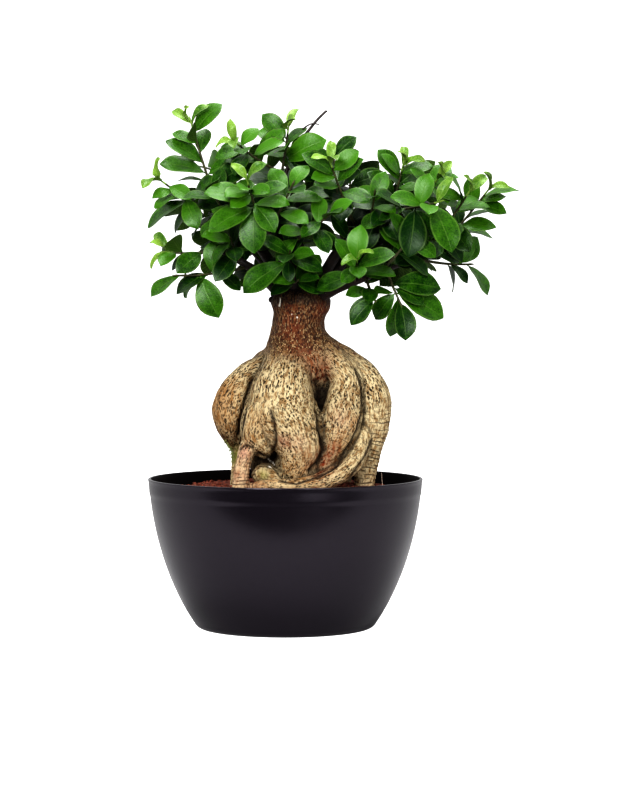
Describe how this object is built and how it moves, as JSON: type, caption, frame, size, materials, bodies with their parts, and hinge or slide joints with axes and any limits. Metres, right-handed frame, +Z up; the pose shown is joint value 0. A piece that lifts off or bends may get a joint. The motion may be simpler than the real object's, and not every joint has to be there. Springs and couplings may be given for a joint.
{
  "type": "ficus bonsai",
  "caption": "Ficus bonsai with swollen, interlaced roots, a short trunk and a dense crown of oval leaves, growing in soil in a round glossy bowl.",
  "frame": {"origin": "centre of the bowl's flat underside", "axes": "+Z up along the bowl's axis, -Y towards the front of the tree, +X to the right seen from the front, where the crown reaches furthest"},
  "size_m": [0.2982, 0.22, 0.419],
  "materials": {
    "bowl_plastic": "glossy black moulded plastic",
    "potting_soil": "rough reddish-brown crumbs",
    "bark": "matt tan bark with fine dark marks, dark brown on the trunk",
    "leaf": "waxy, glossy deep green",
    "young_leaf": "waxy, glossy pale green"
  },
  "bodies": {
    "root": {"bowl": "bowl_plastic", "soil": "potting_soil", "tree": "bark", "shoot_top_left": "leaf", "shoot_left": "leaf", "shoot_low_left": "leaf", "shoot_hanging_left": "leaf", "shoot_front_left": "leaf", "shoot_upper_left": "leaf", "shoot_top": "leaf", "shoot_centre": "leaf", "shoot_inner_front": "leaf", "shoot_low_centre": "leaf", "shoot_collar": "leaf", "shoot_low_right": "leaf", "shoot_under_right": "leaf", "shoot_bottom_right": "leaf", "shoot_front_right": "leaf", "shoot_upper_right": "leaf", "shoot_right_crest": "leaf", "shoot_right_shelf": "leaf", "shoot_far_right": "leaf", "shoot_low_far_right": "leaf", "shoot_inner_right": "leaf", "shoot_inner_left": "leaf", "shoot_mid_left": "leaf", "shoot_mid_centre": "leaf", "shoot_mid_right": "leaf", "shoot_mid_low_right": "leaf", "shoot_mid_far_right": "leaf", "shoot_crest": "leaf", "shoot_back_top_left": "leaf", "shoot_back_left": "leaf", "shoot_back_left_low": "leaf", "shoot_back_left_mid": "leaf", "shoot_back_upper_left": "leaf", "shoot_back_crown": "leaf", "shoot_back_mid": "leaf", "shoot_back_low": "leaf", "shoot_inner_top": "leaf", "shoot_back_upper_right": "leaf", "shoot_back_right_low": "leaf", "shoot_back_right": "leaf", "shoot_back_far_right": "leaf", "shoot_back_right_crest": "leaf", "shoot_low_back_right": "leaf", "young_top_left": "young_leaf", "young_left": "young_leaf", "young_low_left": "young_leaf", "young_front_left": "young_leaf", "young_upper_left": "young_leaf", "young_top": "young_leaf", "young_centre": "young_leaf", "young_low_right": "young_leaf", "young_front_right": "young_leaf", "young_upper_right": "young_leaf", "young_right_crest": "young_leaf", "young_right_shelf": "young_leaf", "young_far_right": "young_leaf"}
  },
  "joints": []
}
